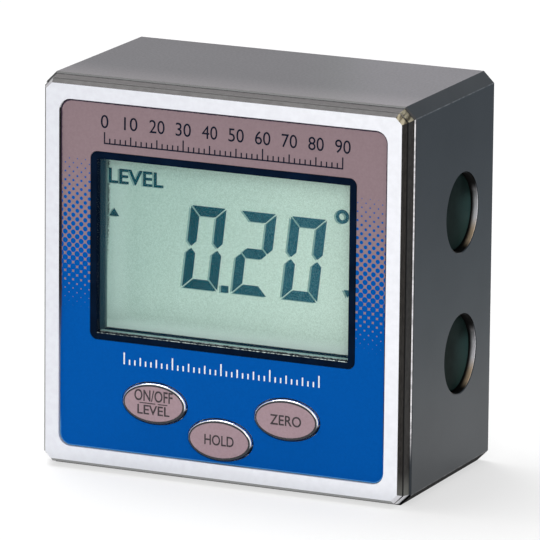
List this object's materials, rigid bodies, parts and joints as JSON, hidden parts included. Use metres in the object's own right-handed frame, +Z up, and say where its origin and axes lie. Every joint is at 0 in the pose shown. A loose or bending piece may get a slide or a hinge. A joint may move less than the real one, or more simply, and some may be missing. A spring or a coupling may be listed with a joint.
{
  "type": "digital angle gauge",
  "caption": "Square block gauge with a front display and oval keys that reads the tilt of whatever its magnetic base or sides are set against.",
  "frame": {"origin": "middle of the base face's depth and width, on the base plane", "axes": "+Z up from the base, -Y out of the front with the display, +X to the right seen from the front"},
  "size_m": [0.06, 0.0321, 0.06],
  "materials": {
    "block_metal": "fine ground, dark anodised",
    "bezel_metal": "satin, bright",
    "label_print": "printed film",
    "window_clear": "clear",
    "display_glass": "satin, grey-green",
    "black_plastic": "fine texture",
    "strip_rubber": "matte",
    "board_laminate": "solder mask",
    "potting_resin": "gloss",
    "chip_package": "matte",
    "plated_metal": "plated",
    "chip_ceramic": "matte",
    "switch_plastic": "matte",
    "key_plastic": "satin face, dark gloss edge",
    "plunger_plastic": "matte",
    "screw_steel": "turned",
    "cover_plastic": "fine texture",
    "seal_rubber": "matte",
    "cell_steel": "satin",
    "contact_brass": "plated spring strip",
    "lead_sleeve": "satin",
    "magnet_plate": "dark plated, smooth"
  },
  "bodies": {
    "gauge": {"body_block": "block_metal", "front_bezel": "bezel_metal", "front_label": "label_print", "display_window": "window_clear", "lcd_panel": "display_glass", "lcd_frame": "black_plastic", "zebra_strips": "strip_rubber", "circuit_board": "board_laminate", "controller_dome": "potting_resin", "tilt_sensor": "chip_package", "clock_crystal": "plated_metal", "board_capacitors": "chip_ceramic", "key_switches": "switch_plastic", "bezel_screws": "screw_steel", "board_screws": "screw_steel", "back_cover": "cover_plastic", "cover_screws": "screw_steel", "cap_seal": "seal_rubber", "coin_cell": "cell_steel", "positive_contact": "contact_brass", "negative_contact": "contact_brass", "battery_leads": "lead_sleeve", "right_magnets": "magnet_plate", "left_magnets": "magnet_plate", "base_magnets": "magnet_plate"},
    "mode_button": {"mode_key": "key_plastic", "mode_plunger": "plunger_plastic"},
    "hold_button": {"hold_key": "key_plastic", "hold_plunger": "plunger_plastic"},
    "zero_button": {"zero_key": "key_plastic", "zero_plunger": "plunger_plastic"},
    "cap": {"battery_cap": "cover_plastic"}
  },
  "joints": [
    {"name": "mode_press", "type": "slide", "parent": "gauge", "child": "mode_button", "axis": [0, 1, 0], "range_m": [0, 0.00035], "stiffness_N_per_m": 1500},
    {"name": "hold_press", "type": "slide", "parent": "gauge", "child": "hold_button", "axis": [0, 1, 0], "range_m": [0, 0.00035], "stiffness_N_per_m": 1500},
    {"name": "zero_press", "type": "slide", "parent": "gauge", "child": "zero_button", "axis": [0, 1, 0], "range_m": [0, 0.00035], "stiffness_N_per_m": 1500},
    {"name": "cap_turn", "type": "hinge", "parent": "gauge", "child": "cap", "pos_m": [0, 0.016, 0.03], "axis": [0, 1, 0], "range_deg": [0, 60]}
  ]
}
